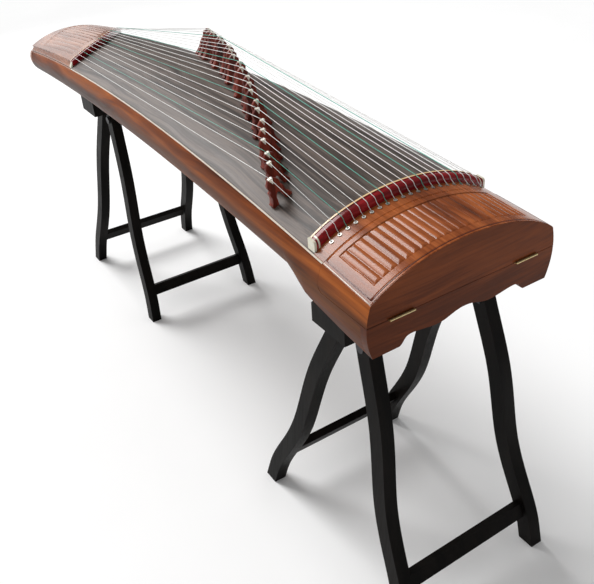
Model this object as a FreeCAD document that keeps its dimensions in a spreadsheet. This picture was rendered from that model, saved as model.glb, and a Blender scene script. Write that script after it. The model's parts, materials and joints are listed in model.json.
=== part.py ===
import FreeCAD, Part
import math
import os
from FreeCAD import Matrix, Placement, Rotation, Vector

# A 21-string guzheng on two folding stands, in millimetres.
# The row frame: +X towards the head, +Y away from the player, +Z up, and the floor at Z = 0.
# Lengths along the body are measured from its middle, which lies at Dims.frame_shift in X.

doc = FreeCAD.newDocument("Guzheng")
dims = doc.addObject("Spreadsheet::Sheet", "Dims")

DIMENSIONS = {
    # the body's plan and side view
    "frame_shift": -34.5,
    "side_shift": -21.3,
    "half_length": 815.0,
    "head_half_width": 167.6,
    "tail_half_width": 129.0,
    "edge_height": 690.8,
    "edge_tilt": 8.8,
    "edge_camber": 47.6,
    "bottom_height": 625.0,
    "bottom_tilt": 6.3,
    "bottom_camber": 32.3,
    "head_foot_height": 565.0,
    "side_bulge": 6.5,
    "side_tuck": 3.0,
    "side_wall": 14.0,
    "end_wall": 14.0,
    # the arched top
    "arch_rise_head": 46.5,
    "arch_rise_tail": 28.0,
    "arch_fullness": 0.8,
    "board_thickness": 8.0,
    "binding_size": 2.0,
    "brace_width": 14.0,
    "bottom_thickness": 6.0,
    "sound_hole_radius": 22.0,
    # the head box
    "strip_start": 681.0,
    "lid_start": 705.0,
    "seam_height": 618.0,
    "seam_gap": 0.8,
    "lid_thickness": 9.0,
    "pin_block_start": 690.0,
    "pin_block_floor": 584.0,
    "pin_block_top": 608.0,
    # nuts, strings, bridges and pins
    "head_nut_width": 13.5,
    "head_nut_rise": 12.0,
    "saddle_width": 3.0,
    "saddle_rise": 1.0,
    "cap_thickness": 4.0,
    "tail_nut_near": -416.0,
    "tail_nut_far": -765.0,
    "tail_nut_width": 11.0,
    "tail_rise_crown": 15.5,
    "tail_rise_corner": 8.0,
    "tail_rise_nut_end": 12.0,
    "panel_recess": 2.2,
    "string_pitch": 14.1,
    "string_centre": 3.0,
    "tail_pitch": 12.2,
    "string_radius": 0.45,
    "hole_line": 689.0,
    "hole_radius": 1.6,
    "eyelet_radius": 3.2,
    "bridge_first": 551.0,
    "bridge_step": 24.0,
    "bridge_step_growth": 0.655,
    "bridge_tip_first": -151.0,
    "bridge_tip_pitch": 14.35,
    "bridge_height_first": 43.0,
    "bridge_height_last": 62.0,
    "bridge_thickness": 11.0,
    "bridge_foot": 19.0,
    "bridge_bone": 6.0,
    "bridge_gap": 0.5,
    "tuner_radius": 3.0,
    "tuner_clearance": 0.05,
    "tuner_length": 50.0,
    "tuner_depth": 20.0,
    "tuner_head": 4.2,
    # the lid's hinges
    "leaf_length": 43.0,
    "leaf_centre": 116.0,
    "leaf_width": 11.0,
    "leaf_thickness": 1.2,
    "knuckle_radius": 1.9,
    "hinge_pin_radius": 0.9,
    "hinge_clearance": 0.05,
    # the stands
    "tail_stand_x": -470.0,
    "tail_stand_y": 50.0,
    "tail_stand_top": 610.5,
    "head_stand_x": 650.0,
    "head_stand_y": 19.0,
    "head_stand_top": 576.5,
    "leg_line": 152.7,
    "leg_depth": 25.0,
    "leg_width": 31.0,
    "leg_splay_degrees": 4.0,
    "tail_leg_lean": 0.088,
    "head_leg_lean": 0.070,
    "stretcher_height": 28.0,
    "stretcher_thickness": 16.0,
    "stretcher_level_left": 90.0,
    "stretcher_level_right": 80.0,
    "rail_half_length": 160.0,
    "rail_offset": -6.0,
    "rail_half_width": 43.0,
    "rail_drop": 54.0,
    "rail_shoulder": 20.0,
    "tail_rail_centre": 52.0,
    "head_rail_centre": 33.0,
    "pivot_drop": 75.0,
    "pivot_radius": 5.0,
    "pivot_clearance": 0.08,
    "bracket_thickness": 3.0,
}

for row, (alias, value) in enumerate(DIMENSIONS.items(), 1):
    dims.set(f"A{row}", alias)
    dims.set(f"B{row}", str(value))
    dims.setAlias(f"B{row}", alias)
doc.recompute()


def size(alias):
    return float(dims.get(alias))


HALF = size("half_length")
SEAM = size("seam_height")
STRINGS = 21
STATIONS = 12
ARCH_POINTS = 15
# semitones below the first note of each octave of a pentatonic scale
TUNING_STEPS = (0, 3, 5, 8, 10)
OCTAVE = 12


# The lines that shape the body, as functions of the distance from its middle.

def edge_line(x):
    """Height of the top edge of the sides."""
    t = x / HALF
    return size("edge_height") + size("edge_tilt") * t - size("edge_camber") * t * t


def bottom_line(x):
    """Height of the bottom edge of the sides, before the head foot."""
    t = x / HALF
    return size("bottom_height") + size("bottom_tilt") * t - size("bottom_camber") * t * t


def half_width(x):
    share = (x + HALF) / (2 * HALF)
    return size("tail_half_width") + (size("head_half_width") - size("tail_half_width")) * share


def arch_rise(x):
    share = (x + HALF) / (2 * HALF)
    return size("arch_rise_tail") + (size("arch_rise_head") - size("arch_rise_tail")) * share


def arch(x, y):
    """Height of the soundboard's top surface."""
    fullness = size("arch_fullness")
    flat_end = math.sqrt(1 - fullness ** 2)
    reach = min(1.0, abs(y) / half_width(x)) * fullness
    return edge_line(x) + arch_rise(x) * (math.sqrt(1 - reach ** 2) - flat_end) / (1 - flat_end)


def string_y(number):
    """Distance of a string from the middle at the head nut; string 1 is the player's."""
    return size("string_centre") + size("string_pitch") * (number - (STRINGS + 1) / 2)


def row_share(number):
    """Place in the row of bridges, from 0 to 1. A wider musical interval has a wider gap."""
    octave, note = divmod(number - 1, len(TUNING_STEPS))
    return (OCTAVE * octave + TUNING_STEPS[note]) / (OCTAVE * (STRINGS - 1) / len(TUNING_STEPS))


def bridge_x(number):
    step = (STRINGS - 1) * row_share(number)
    return (size("bridge_first") - size("bridge_step") * step
            - size("bridge_step_growth") * step * step)


def bridge_height(number):
    share = (number - 1) / (STRINGS - 1)
    first = size("bridge_height_first")
    return first + (size("bridge_height_last") - first) * share


def bridge_frame(number):
    """A bridge stands square to the arch: its middle on the board, its side and up directions."""
    x = bridge_x(number)
    tall = bridge_height(number)
    tip_y = size("bridge_tip_first") + size("bridge_tip_pitch") * (number - 1)
    y = tip_y
    for _ in range(30):
        slope = (arch(x, y + 0.5) - arch(x, y - 0.5))
        length = math.hypot(1, slope)
        y = tip_y + tall * slope / length
    return (x, y, arch(x, y)), (0, 1 / length, slope / length), (0, -slope / length, 1 / length)


def tail_nut_x(y):
    """The tail nut leaves the near side squarely, then sweeps back towards the tail."""
    share = (y / size("tail_half_width") + 1) / 2
    return size("tail_nut_near") + (size("tail_nut_far") - size("tail_nut_near")) * share * share


# Helpers that make shapes.

def spread(first, last, count):
    return [first + (last - first) * i / (count - 1) for i in range(count)]


def polygon(points):
    return Part.makePolygon(points + [points[0]])


def curve(points):
    spline = Part.BSplineCurve()
    spline.interpolate(points)
    return spline.toShape()


def loft(section, places):
    return Part.makeLoft([section(x) for x in places], True, True)


def layer_section(lower, upper, reach):
    """A section function for what lies between two heights across the body."""
    def section(x):
        across = spread(-reach(x), reach(x), ARCH_POINTS)
        top = [Vector(x, y, upper(x, y)) for y in across]
        bottom = [Vector(x, y, lower(x, y)) for y in across]
        return Part.Wire([curve(top), Part.makeLine(top[-1], bottom[-1]),
                          curve(bottom[::-1]), Part.makeLine(bottom[0], top[0])])
    return section


def prism(points, direction):
    """A closed outline pushed along a direction."""
    return Part.Face(polygon(points)).extrude(direction)


def across_body(outline):
    """A prism of an X-Z outline that reaches past both sides."""
    reach = 2 * size("head_half_width")
    return prism([Vector(x, -reach / 2 - 100, z) for x, z in outline], Vector(0, reach + 200, 0))


def mirrored(shape):
    return shape.mirror(Vector(0, 0, 0), Vector(0, 1, 0))


def place(node, base="0", side="0", height=None):
    """Put a node in the row frame: base and side are measured from the body's middle."""
    node.setExpression("Placement.Base.x", f"Dims.frame_shift + {base}")
    node.setExpression("Placement.Base.y", f"Dims.side_shift + {side}")
    if height:
        node.setExpression("Placement.Base.z", height)


NODES = []


def keep(node, label):
    node.Label = label
    NODES.append(node)
    return node


def shaped(label, shape):
    """A sub-part whose shape is worked out above, placed by the sheet."""
    node = doc.addObject("Part::Feature", label)
    node.Shape = shape
    place(node)
    return keep(node, label)


# The sides: a bellied board with a rebate for the soundboard and the binding.

FOOT_START = 604.0
FOOT_LOW = 655.0


def blank_bottom(x):
    if x <= FOOT_START:
        return bottom_line(x)
    if x >= FOOT_LOW:
        drop = (x - FOOT_LOW) / (HALF - FOOT_LOW)
        return size("head_foot_height") + 12 * (1 - drop)
    share = (x - FOOT_START) / (FOOT_LOW - FOOT_START)
    low = size("head_foot_height") + 12
    return bottom_line(FOOT_START) * (1 - share) + low * share


def side_section(x):
    w = half_width(x)
    top = edge_line(x)
    low = blank_bottom(x)
    inner = w - size("side_wall")
    rebate = size("binding_size")
    board = size("board_thickness")
    corner = Vector(x, -w, top - rebate)
    belly = Vector(x, -w - size("side_bulge"), (top + low) / 2)
    tuck = Vector(x, -w + size("side_tuck"), low)
    rest = [tuck, Vector(x, -inner, low), Vector(x, -inner, top - board),
            Vector(x, -w + rebate, top - board), Vector(x, -w + rebate, top - rebate), corner]
    return Part.Wire([Part.Arc(corner, belly, tuck).toShape()] + Part.makePolygon(rest).Edges)


def body_outline_section(x):
    """The body's full outer outline, used for the head box and the ends."""
    w = half_width(x)
    top = edge_line(x)
    low = blank_bottom(x)
    near_corner = Vector(x, -w, top)
    near_belly = Vector(x, -w - size("side_bulge"), (top + low) / 2)
    near_tuck = Vector(x, -w + size("side_tuck"), low)
    far_corner, far_belly, far_tuck = [Vector(x, -p.y, p.z) for p in (near_corner, near_belly, near_tuck)]
    crown = curve([Vector(x, y, arch(x, y)) for y in spread(-w, w, ARCH_POINTS)])
    return Part.Wire([crown, Part.Arc(far_corner, far_belly, far_tuck).toShape(),
                      Part.makeLine(far_tuck, near_tuck),
                      Part.Arc(near_tuck, near_belly, near_corner).toShape()])


def ogee():
    """Everything below the side's bottom edge at the head: an ogee, then the foot."""
    low = size("head_foot_height")
    start = Vector(FOOT_START - 4, 0, bottom_line(FOOT_START - 4))
    drop = [start, Vector(627, 0, low + 45), Vector(640, 0, low + 33), Vector(660, 0, low + 23),
            Vector(710, 0, low + 13), Vector(770, 0, low + 2), Vector(790, 0, low),
            Vector(HALF + 20, 0, low)]
    spline = curve(drop[:-1])
    rest = Part.makePolygon([drop[-2], drop[-1], Vector(HALF + 20, 0, 500),
                             Vector(start.x, 0, 500), start])
    face = Part.Face(Part.Wire([spline] + rest.Edges))
    return face.extrude(Vector(0, 600, 0)).translated(Vector(0, -300, 0))


def tail_trim():
    """The tail end leans back towards its foot, with a round corner."""
    top = edge_line(-HALF)
    low = bottom_line(-HALF)
    end = [Vector(-HALF, 0, top - 14), Vector(-HALF + 6, 0, low + 18), Vector(-HALF + 24, 0, low - 4)]
    rest = Part.makePolygon([end[-1], Vector(-HALF - 40, 0, low - 4), Vector(-HALF - 40, 0, top - 14),
                             end[0]])
    face = Part.Face(Part.Wire([curve(end)] + rest.Edges))
    return face.extrude(Vector(0, 600, 0)).translated(Vector(0, -300, 0))


def lid_region(gap):
    """The space of the lid: above the seam, from its curved front edge to the end."""
    start = size("lid_start") + gap
    low = SEAM + gap
    radius = 10.0
    top = Vector(start, 0, 800)
    shoulder = Vector(start, 0, 668)
    waist = Vector(start - 6, 0, 640)
    turn = Vector(start - 6, 0, low + radius)
    corner = Vector(start - 6 + radius * (1 - math.sqrt(0.5)), 0, low + radius * (1 - math.sqrt(0.5)))
    flat = Vector(start - 6 + radius, 0, low)
    front = curve([shoulder, Vector(start - 3.8, 0, 654), waist])
    rest = Part.makePolygon([flat, Vector(HALF + 60, 0, low), Vector(HALF + 60, 0, 800), top, shoulder])
    face = Part.Face(Part.Wire([front, Part.makeLine(waist, turn),
                                Part.Arc(turn, corner, flat).toShape()] + rest.Edges))
    return face.extrude(Vector(0, 600, 0)).translated(Vector(0, -300, 0))


INNER_END = HALF - size("end_wall")
ogee_cutter = ogee()
tail_cutter = tail_trim()
side_stations = spread(-INNER_END, FOOT_START, STATIONS) + [FOOT_LOW, 730.0, INNER_END]
near_side = loft(side_section, side_stations).cut(ogee_cutter).cut(tail_cutter).cut(lid_region(0))
side_panels = Part.makeCompound([near_side, mirrored(near_side)])
shaped("side_panels", side_panels)


# The soundboard, its braces and the bindings.

def board_reach(x):
    return half_width(x) - size("binding_size")


def board_underside(x, y):
    return arch(x, y) - size("board_thickness")


def lowered(surface, drop):
    """The same surface, a distance further down."""
    def height(x, y):
        return surface(x, y) - drop
    return height


board_places = spread(-INNER_END, size("strip_start"), STATIONS)
board_shape = loft(layer_section(board_underside, arch, board_reach), board_places)
sides = near_side.fuse(mirrored(near_side))
board_shape = board_shape.cut(sides)


def brace_section(x):
    reach = half_width(x) - size("side_wall") - 4
    across = spread(-reach, reach, ARCH_POINTS)
    top = [Vector(x, y, board_underside(x, y) - 0.2) for y in across]
    low = edge_line(x) - 14
    return Part.Wire([curve(top)] + Part.makePolygon(
        [top[-1], Vector(x, reach, low), Vector(x, -reach, low), top[0]]).Edges)


braces = []
for place_x in (-520.0, -140.0, 240.0):
    half = size("brace_width") / 2
    braces.append(loft(brace_section, [place_x - half, place_x + half]))
shaped("soundboard", Part.makeCompound([board_shape] + braces))


def binding_section(x):
    w = half_width(x)
    top = edge_line(x)
    rebate = size("binding_size") - 0.06
    return polygon([Vector(x, -w, top), Vector(x, -w + rebate, top),
                    Vector(x, -w + rebate, top - rebate), Vector(x, -w, top - rebate)])


binding_start = size("tail_nut_near")
far_binding_start = size("tail_nut_far")
binding_end = [FOOT_LOW, size("lid_start")]
bindings = []
for start in (binding_start, far_binding_start):
    whole = loft(binding_section, spread(start, FOOT_START, STATIONS) + binding_end)
    beside_panel = loft(binding_section, spread(-INNER_END, start - 0.1, 4))
    bindings.append([whole.cut(lid_region(0)).cut(near_side), beside_panel.cut(near_side)])
near_pieces, far_pieces = bindings
shaped("edge_bindings", Part.makeCompound(near_pieces + [mirrored(piece) for piece in far_pieces]))


# The bottom board, with three sound holes.

def bottom_section(x):
    reach = half_width(x) - size("side_wall") - 0.1
    low = bottom_line(x)
    top = low + size("bottom_thickness")
    return polygon([Vector(x, -reach, low), Vector(x, reach, low),
                    Vector(x, reach, top), Vector(x, -reach, top)])


bottom_board = loft(bottom_section, spread(-INNER_END, size("strip_start") - 0.2, STATIONS))
for hole_x, stretch in ((-700.0, 1.4), (0.0, 1.0), (380.0, 1.0)):
    hole = Part.makeCylinder(size("sound_hole_radius"), 120, Vector(0, 0, bottom_line(hole_x) - 60))
    oval = Matrix()
    oval.scale(Vector(stretch, 1.6, 1.0))
    hole = hole.transformGeometry(oval).translated(Vector(hole_x, 0, 0))
    bottom_board = bottom_board.cut(hole)
shaped("bottom_board", bottom_board.cut(tail_cutter))


# The head end panel, with its scalloped lower edge.

head_places = [INNER_END, HALF]
end_block = loft(body_outline_section, head_places)
above_seam = across_body([(INNER_END - 5, SEAM), (HALF + 5, SEAM), (HALF + 5, 800), (INNER_END - 5, 800)])


def scallops():
    """Between the two corner feet the edge rises in an ogee, dips in a middle lobe and rises again."""
    low = size("head_foot_height")
    half_edge = [(124.0, low - 1), (114.0, low + 3), (106.0, low + 12), (94.0, low + 14),
                 (74.0, low + 11.5), (52.0, low + 9), (36.0, low + 10.5), (18.0, low + 16), (0.0, low + 18.5)]
    points = [Vector(INNER_END - 5, -y, z) for y, z in half_edge]
    points += [Vector(INNER_END - 5, y, z) for y, z in half_edge[-2::-1]]
    rest = Part.makePolygon([points[-1], Vector(INNER_END - 5, 124, low - 30),
                             Vector(INNER_END - 5, -124, low - 30), points[0]])
    return Part.Face(Part.Wire([curve(points)] + rest.Edges)).extrude(Vector(size("end_wall") + 10, 0, 0))


head_end_panel = end_block.cut(above_seam).cut(ogee_cutter).cut(scallops())
leaf_cutters = []
for side in (-1, 1):
    leaf_middle = side * size("leaf_centre")
    leaf_cutters.append(Part.makeBox(
        size("leaf_width") + 10, size("leaf_length") + 0.6, size("leaf_thickness") + 0.2,
        Vector(HALF - size("leaf_width") - 0.2, leaf_middle - size("leaf_length") / 2 - 0.3,
               SEAM - size("leaf_thickness") - 0.2)))
for cutter in leaf_cutters:
    head_end_panel = head_end_panel.cut(cutter)
shaped("head_end_panel", head_end_panel)


# The pin block, with a bore for each tuning pin.

TUNER_ROWS = 3


def tuner_place(number):
    """Tuning pins stand in three staggered rows."""
    row = (number - 1) % TUNER_ROWS
    return Vector(728 + 22 * row, string_y(number) * 0.93, size("pin_block_top"))


block_reach = half_width(size("pin_block_start")) - size("side_wall") - 0.3
pin_block = doc.addObject("Part::Box", "pin_block_blank")
pin_block.setExpression("Length", "Dims.half_length - Dims.end_wall - Dims.pin_block_start - 0.2")
pin_block.Width = 2 * block_reach
pin_block.setExpression("Height", "Dims.pin_block_top - Dims.pin_block_floor")
place(pin_block, "Dims.pin_block_start", str(-block_reach), "Dims.pin_block_floor")
bores = []
for number in range(1, STRINGS + 1):
    spot = tuner_place(number)
    bore = doc.addObject("Part::Cylinder", f"tuner_bore_{number:02d}")
    bore.setExpression("Radius", "Dims.tuner_radius + Dims.tuner_clearance")
    bore.setExpression("Height", "Dims.tuner_depth + 1")
    place(bore, str(spot.x), str(spot.y), "Dims.pin_block_top - Dims.tuner_depth")
    bores.append(bore)
bore_group = doc.addObject("Part::MultiFuse", "tuner_bores")
bore_group.Shapes = bores
drilled = doc.addObject("Part::Cut", "pin_block")
drilled.Base = pin_block
drilled.Tool = bore_group
keep(drilled, "pin_block")

for number in range(1, STRINGS + 1):
    spot = tuner_place(number)
    shank = doc.addObject("Part::Cylinder", f"tuner_shank_{number:02d}")
    shank.setExpression("Radius", "Dims.tuner_radius")
    shank.setExpression("Height", "Dims.tuner_length - 12")
    top = doc.addObject("Part::Box", f"tuner_top_{number:02d}")
    for side_name in ("Length", "Width"):
        top.setExpression(side_name, "Dims.tuner_head")
    top.Height = 12.5
    top.Placement.Base = Vector(-size("tuner_head") / 2, -size("tuner_head") / 2,
                                size("tuner_length") - 12.5)
    pin = doc.addObject("Part::Fuse", f"tuning_pin_{number:02d}")
    pin.Base = shank
    pin.Tool = top
    place(pin, str(spot.x), str(spot.y), "Dims.pin_block_top - Dims.tuner_depth + 0.4")
    keep(pin, f"tuning_pin_{number:02d}")


# The strip behind the head nut, with its holes and eyelets, and the wall under it.

strip_places = [size("strip_start"), size("lid_start")]
strip_underside = lowered(arch, 10)
strip = loft(layer_section(strip_underside, arch, board_reach), strip_places).cut(sides)
strip = strip.cut(lid_region(0))


def eyelet_centre(y):
    return Vector(size("hole_line"), y, arch(size("hole_line"), y))


def eyelet_upright(y):
    """The direction square to the strip at a hole."""
    slope = (arch(size("hole_line"), y + 1) - arch(size("hole_line"), y - 1)) / 2
    return Vector(0, -slope, 1).normalize()


eyelets = []
for number in range(1, STRINGS + 1):
    y = string_y(number)
    upright = eyelet_upright(y)
    centre = eyelet_centre(y)
    hole = Part.makeCylinder(size("hole_radius"), 60, centre - upright * 30, upright)
    seat = Part.makeCylinder(size("eyelet_radius") - 0.8, 60, centre - upright * 30, upright)
    strip = strip.cut(seat)
    flange = Part.makeCylinder(size("eyelet_radius"), 1.0, centre, upright)
    barrel = Part.makeCylinder(size("eyelet_radius") - 0.8, 6.0, centre - upright * 5, upright)
    eyelets.append(flange.fuse(barrel).cut(hole).cut(strip))


def wall_section(x):
    reach = half_width(x) - size("side_wall") - 0.3
    across = spread(-reach, reach, ARCH_POINTS)
    top = [Vector(x, y, arch(x, y) - 10.2) for y in across]
    low = size("pin_block_top") - 8
    return Part.Wire([curve(top)] + Part.makePolygon(
        [top[-1], Vector(x, reach, low), Vector(x, -reach, low), top[0]]).Edges)


strip_wall = loft(wall_section, [size("strip_start"), size("hole_line") - 4])
shaped("string_strip", Part.makeCompound([strip, strip_wall] + eyelets))


# The nuts: a curved bar on the soundboard, a saddle strip in front of it and two end caps.

def raised(height):
    def surface(x, y):
        return arch(x, y) + height
    return surface


def nut_reach(x):
    return half_width(x) - 7


def cap(x_first, x_last, y_inner, rise):
    """An end cap: a plate that follows the bar's outline."""
    def reach_section(x):
        low = arch(x, y_inner) - 6
        top = arch(x, y_inner) + rise
        outer = y_inner - size("cap_thickness")
        return polygon([Vector(x, y_inner, low), Vector(x, outer, low),
                        Vector(x, outer, top), Vector(x, y_inner, top)])
    return loft(reach_section, [x_first, x_last])


TAIL_SADDLE_RISE = 1.0
BRIDGE_CLEARANCE = 0.4
NUT_ROUND = 8.0
nut_back = size("strip_start") - 0.5
nut_front = nut_back - size("head_nut_width")
below_board = loft(layer_section(lowered(arch, 60), arch, half_width), board_places)
saddle_front = nut_front - size("saddle_width")
nut_bar = loft(layer_section(arch, raised(size("head_nut_rise")), nut_reach), [nut_front, nut_back])
back_edges = [edge for edge in nut_bar.Edges
              if abs(edge.BoundBox.XMin - nut_back) < 0.01 and edge.BoundBox.XLength < 0.01
              and edge.BoundBox.YLength > 200 and edge.BoundBox.ZMax > arch(nut_back, 0) + 5]
nut_bar = nut_bar.makeFillet(NUT_ROUND, back_edges).cut(below_board)
saddle_top = raised(size("head_nut_rise") + size("saddle_rise"))
nut_saddle = loft(layer_section(arch, saddle_top, nut_reach), [saddle_front, nut_front]).cut(below_board)
near_cap = cap(saddle_front, nut_back, -nut_reach(nut_back), size("head_nut_rise") + 1.5).cut(below_board)
near_cap = near_cap.makeFillet(5.0, [edge for edge in near_cap.Edges
                                     if edge.BoundBox.XLength < 0.01
                                     and abs(edge.BoundBox.XMin - nut_back) < 0.01
                                     and edge.BoundBox.YLength > 1
                                     and edge.BoundBox.ZMin > arch(nut_back, nut_reach(nut_back)) + 6])
shaped("head_nut", Part.makeCompound([nut_bar, nut_saddle, near_cap, mirrored(near_cap)]))


def slanted_strip(front, back):
    """An upright prism along the slanting tail nut, between two offsets from its line."""
    reach = size("head_half_width") + 10
    across = spread(-reach, reach, 2 * ARCH_POINTS + 1)
    low = 560
    ahead = [Vector(tail_nut_x(y) + front, y, low) for y in across]
    behind = [Vector(tail_nut_x(y) + back, y, low) for y in across]
    outline = Part.Wire([curve(ahead), Part.makeLine(ahead[-1], behind[-1]),
                         curve(behind[::-1]), Part.makeLine(behind[0], ahead[0])])
    return Part.Face(outline).extrude(Vector(0, 0, 300))


def tail_surface(lift):
    """The tail panel's crowned top, lower towards its side edges, most of all at the end."""
    def surface(x, y):
        share = (x + HALF) / (size("tail_nut_near") + HALF)
        corner, nut_end = size("tail_rise_corner"), size("tail_rise_nut_end")
        side_rise = corner + (nut_end - corner) * min(1.0, share)
        reach = min(1.0, abs(y) / half_width(x)) ** 2
        crown = size("tail_rise_crown")
        return arch(x, y) + crown + (side_rise - crown) * reach + lift
    return surface


nut_top = tail_surface(0)
panel_top = tail_surface(-size("panel_recess"))
tail_saddle_top = tail_surface(TAIL_SADDLE_RISE)
tail_places = spread(-HALF, -360.0, 6)
nut_width = size("tail_nut_width")
tail_layer = loft(layer_section(arch, nut_top, nut_reach), tail_places)
tail_bar = tail_layer.common(slanted_strip(0, -nut_width)).cut(below_board)
saddle_layer = loft(layer_section(arch, tail_saddle_top, nut_reach), tail_places)
tail_saddle = saddle_layer.common(slanted_strip(-nut_width, -nut_width - 3)).cut(below_board)


def tail_edge_section(x):
    """The panel's edge strip, falling from the panel's top to the binding."""
    inner = nut_reach(x)
    outer = half_width(x) - size("binding_size")
    return polygon([Vector(x, -inner, arch(x, inner)), Vector(x, -inner, panel_top(x, inner)),
                    Vector(x, -outer, edge_line(x) + 4), Vector(x, -outer, arch(x, outer))])


panel_layer = loft(layer_section(arch, panel_top, nut_reach), tail_places)
edge_strip = loft(tail_edge_section, tail_places)
panel_whole = panel_layer.fuse(edge_strip).fuse(mirrored(edge_strip)).removeSplitter()
tail_panel = panel_whole.common(slanted_strip(-nut_width - 3, -900)).cut(below_board)
tail_panel = tail_panel.cut(across_body([(-HALF - 200, 500), (-INNER_END, 500),
                                         (-INNER_END, 900), (-HALF - 200, 900)]))
tail_caps = [strip_side.common(slanted_strip(0, -nut_width - 3)).cut(below_board)
             for strip_side in (edge_strip, mirrored(edge_strip))]
tail_block = loft(body_outline_section, [-HALF, -INNER_END]).cut(tail_cutter)
tail_crest = loft(layer_section(arch, panel_top, nut_reach), [-HALF, -INNER_END])
shaped("tail_nut", Part.makeCompound([tail_bar, tail_saddle] + tail_caps))
shaped("tail_panel", Part.makeCompound([tail_panel, tail_block.fuse(tail_crest).removeSplitter()]))


# The lid: a shell with a top, two sides and an end wall.

lid_outer = loft(body_outline_section, [size("lid_start") - 20, HALF]).common(lid_region(size("seam_gap")))


def lid_hollow_section(x):
    reach = half_width(x) - size("side_wall") + 2
    top = [Vector(x, y, arch(x, y) - size("lid_thickness")) for y in spread(-reach, reach, ARCH_POINTS)]
    low = SEAM - 20
    return Part.Wire([curve(top)] + Part.makePolygon(
        [top[-1], Vector(x, reach, low), Vector(x, -reach, low), top[0]]).Edges)


def lid_field_reach(x):
    return half_width(x) - 5


lid = lid_outer.cut(loft(lid_hollow_section, [size("lid_start") - 40, HALF - size("end_wall")]))
# the top is set down inside a rim, for the ribbed panel
lid_field = layer_section(lowered(arch, size("panel_recess")), raised(20), lid_field_reach)
lid = lid.cut(loft(lid_field, [size("lid_start") - 40, HALF - 4]))
for cutter in leaf_cutters:
    lid = lid.cut(cutter.translated(Vector(0, 0, size("leaf_thickness") + 0.2 + size("seam_gap"))))
shaped("head_lid", lid)


# Two butt hinges on the end, each with a fixed leaf, a moving leaf and a pin.

AXIS_X = HALF + size("knuckle_radius") + 0.3
AXIS_Z = SEAM + size("seam_gap") / 2
KNUCKLES = 5


def hinge_leaf(middle, moving):
    """One leaf with every other knuckle, bored for the pin."""
    length = size("leaf_length")
    thick = size("leaf_thickness")
    start = middle - length / 2
    level = AXIS_Z + 0.45 if moving else AXIS_Z - 0.45 - thick
    plate = Part.makeBox(size("leaf_width"), length, thick,
                         Vector(HALF - size("leaf_width"), start, level))
    link_height = thick + 0.45
    step = length / KNUCKLES
    leaf = plate
    for number in range(KNUCKLES):
        if (number % 2 == 0) != moving:
            continue
        knuckle_start = start + number * step + (0.15 if number else 0)
        knuckle_length = step - (0.3 if 0 < number < KNUCKLES - 1 else 0.15)
        base_z = AXIS_Z if moving else AXIS_Z - link_height
        link = Part.makeBox(AXIS_X - HALF + 0.4, knuckle_length, link_height,
                            Vector(HALF - 0.4, knuckle_start, base_z))
        barrel = Part.makeCylinder(size("knuckle_radius"), knuckle_length,
                                   Vector(AXIS_X, knuckle_start, AXIS_Z), Vector(0, 1, 0))
        leaf = leaf.fuse(barrel).fuse(link)
    bore = Part.makeCylinder(size("hinge_pin_radius") + (size("hinge_clearance") if moving else 0),
                             length + 10, Vector(AXIS_X, start - 5, AXIS_Z), Vector(0, 1, 0))
    return leaf.cut(bore)


fixed_pieces = []
moving_pieces = []
for side in (-1, 1):
    middle = side * size("leaf_centre")
    fixed_pieces.append(hinge_leaf(middle, False))
    moving_pieces.append(hinge_leaf(middle, True))
    fixed_pieces.append(Part.makeCylinder(size("hinge_pin_radius"), size("leaf_length") + 2,
                                          Vector(AXIS_X, middle - size("leaf_length") / 2 - 1, AXIS_Z),
                                          Vector(0, 1, 0)))
shaped("hinge_fixed_leaves", Part.makeCompound(fixed_pieces))
shaped("hinge_moving_leaves", Part.makeCompound(moving_pieces))


# The bridges: each an A with two feet cut to the soundboard, and a bone tip.

board_and_gap = loft(layer_section(lowered(arch, 80), raised(size("bridge_gap")), half_width), board_places)


def bridge_outline(tall):
    """Half of the A, as distances from its middle and heights above the board."""
    foot = size("bridge_foot")
    outer = [(4.5, tall), (11.0, tall - 9), (10.0, tall - 17), (13.0, 0.5 * tall),
             (14.0, 0.3 * tall), (foot, 3.0), (foot, -25.0)]
    inner = [(8.0, -25.0), (8.0, 2.0), (5.5, 0.25 * tall), (1.5, 0.43 * tall)]
    return outer, inner


def mirrored_outline(half_outline):
    """The whole outline: the right half, then the left half back again."""
    return half_outline + [(-across, up) for across, up in half_outline[::-1]]


for number in range(1, STRINGS + 1):
    base, sideways, upwards = (Vector(*v) for v in bridge_frame(number))
    tall = bridge_height(number)
    thick = size("bridge_thickness")

    def at(across, up, along=0.0):
        return base + sideways * across + upwards * up + Vector(along, 0, 0)

    outer, inner = bridge_outline(tall)
    through = Vector(thick, 0, 0)
    body = prism([at(across, up, -thick / 2) for across, up in mirrored_outline(outer)], through)
    opening = prism([at(across, up, -thick / 2) for across, up in mirrored_outline(inner)], through)
    body = body.cut(opening)
    # both faces lean in towards the tip
    for way in (-1, 1):
        wedge = prism([at(-60, tall + 1, way * 2.2), at(-60, 0.25 * tall, way * thick / 2),
                       at(-60, 0.25 * tall, way * (thick / 2 + 5)), at(-60, tall + 1, way * (thick / 2 + 5))],
                      sideways * 120)
        body = body.cut(wedge)
    body = body.cut(board_and_gap)
    bone_low = tall - size("bridge_bone")
    above = prism([at(-30, bone_low, -15), at(30, bone_low, -15),
                   at(30, tall + 5, -15), at(-30, tall + 5, -15)], Vector(30, 0, 0))
    shaped(f"bridge_{number:02d}", Part.makeCompound([body.cut(above), body.common(above)]))


# The strings: from the tail nut over the bridge and the head nut, through the strip, to the pin.

def tube_along(points, radius):
    start = points[0]
    profile = Part.Wire(Part.makeCircle(radius, start, points[1] - points[0]))
    return Part.makePolygon(points).makePipeShell([profile], True, False, 1)


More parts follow.
